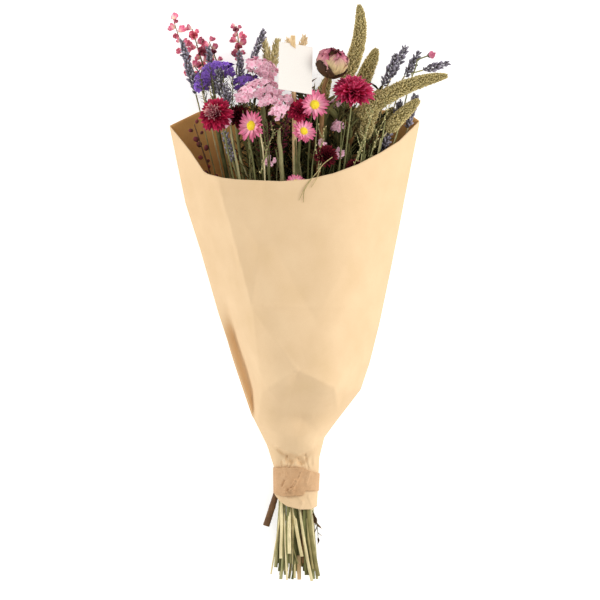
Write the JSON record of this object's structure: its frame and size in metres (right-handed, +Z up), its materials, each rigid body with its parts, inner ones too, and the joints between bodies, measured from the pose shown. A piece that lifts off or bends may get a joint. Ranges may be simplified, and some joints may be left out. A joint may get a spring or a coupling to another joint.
{
  "type": "mixed flower bouquet",
  "caption": "Hand-tied bouquet of mixed dried flowers, grasses and seed heads in a folded kraft paper wrap, bound with paper tape, with a blank card on a wooden pick; it lies on its back.",
  "frame": {"origin": "On the surface that the bouquet lies on, under the middle of the paper tape that binds the stems.", "axes": "+Y from the binding to the flower heads, +Z up from the surface to the open front of the wrap, +X to the right as seen from above with the heads at the top."},
  "size_m": [0.278, 0.5751, 0.1144],
  "materials": {
    "kraft_paper": "uncoated, creased",
    "paper_tape": "uncoated, crumpled",
    "card": "smooth, matt",
    "wood": "planed, raw",
    "green_stem": "dried, matt",
    "straw_stem": "dried, matt",
    "pink_petals": "dried, matt",
    "yellow_disc": "dried, matt",
    "crimson_bracts": "dried, matt",
    "peony_pink": "dried, matt",
    "peony_brown": "dried, matt",
    "statice_pink": "dried, matt",
    "statice_purple": "dried, matt",
    "larkspur_pink": "dried, matt",
    "lavender": "dried, matt",
    "setaria": "dried, matt",
    "pale_grass": "dried, matt",
    "seed_brown": "dried, matt"
  },
  "bodies": {
    "root": {"kraft_paper_wrap": "kraft_paper", "paper_tape": "paper_tape", "gift_card": "card", "card_stick": "wood", "everlasting_left_petals": "pink_petals", "everlasting_middle_petals": "pink_petals", "everlasting_right_petals": "pink_petals", "everlasting_rim_petals": "pink_petals", "everlasting_left_disc": "yellow_disc", "everlasting_middle_disc": "yellow_disc", "everlasting_right_disc": "yellow_disc", "everlasting_rim_disc": "yellow_disc", "strawflower_left": "crimson_bracts", "strawflower_shaded": "crimson_bracts", "strawflower_right": "crimson_bracts", "strawflower_middle": "crimson_bracts", "strawflower_low": "crimson_bracts", "strawflower_rim": "crimson_bracts", "statice_pink_front": "statice_pink", "statice_pink_low": "statice_pink", "statice_pink_back": "statice_pink", "statice_pink_right": "statice_pink", "statice_purple_left": "statice_purple", "statice_purple_middle": "statice_purple", "larkspur_left": "larkspur_pink", "larkspur_behind": "larkspur_pink", "larkspur_short": "larkspur_pink", "larkspur_middle": "larkspur_pink", "peony_petals": "peony_pink", "pink_bud": "pink_petals", "everlasting_left_stem": "green_stem", "everlasting_middle_stems": "green_stem", "everlasting_right_stem": "green_stem", "strawflower_left_stem": "green_stem", "strawflower_right_stem": "green_stem", "strawflower_middle_stem": "green_stem", "strawflower_low_stems": "green_stem", "statice_pink_front_stem": "green_stem", "statice_pink_low_stem": "green_stem", "statice_pink_back_stem": "green_stem", "statice_pink_right_stem": "green_stem", "statice_purple_left_stem": "green_stem", "statice_purple_middle_stems": "green_stem", "larkspur_left_stems": "green_stem", "larkspur_short_stems": "green_stem", "peony_sepals_and_stem": "peony_brown", "lavender_far": "lavender", "lavender_left": "lavender", "lavender_upright": "lavender", "lavender_front": "lavender", "lavender_right": "lavender", "lavender_low": "lavender", "setaria_upright": "setaria", "setaria_right": "setaria", "setaria_back": "setaria", "setaria_left": "setaria", "setaria_low": "setaria", "pale_grass": "pale_grass", "seed_twig": "seed_brown", "stray_grass": "straw_stem"}
  },
  "joints": []
}
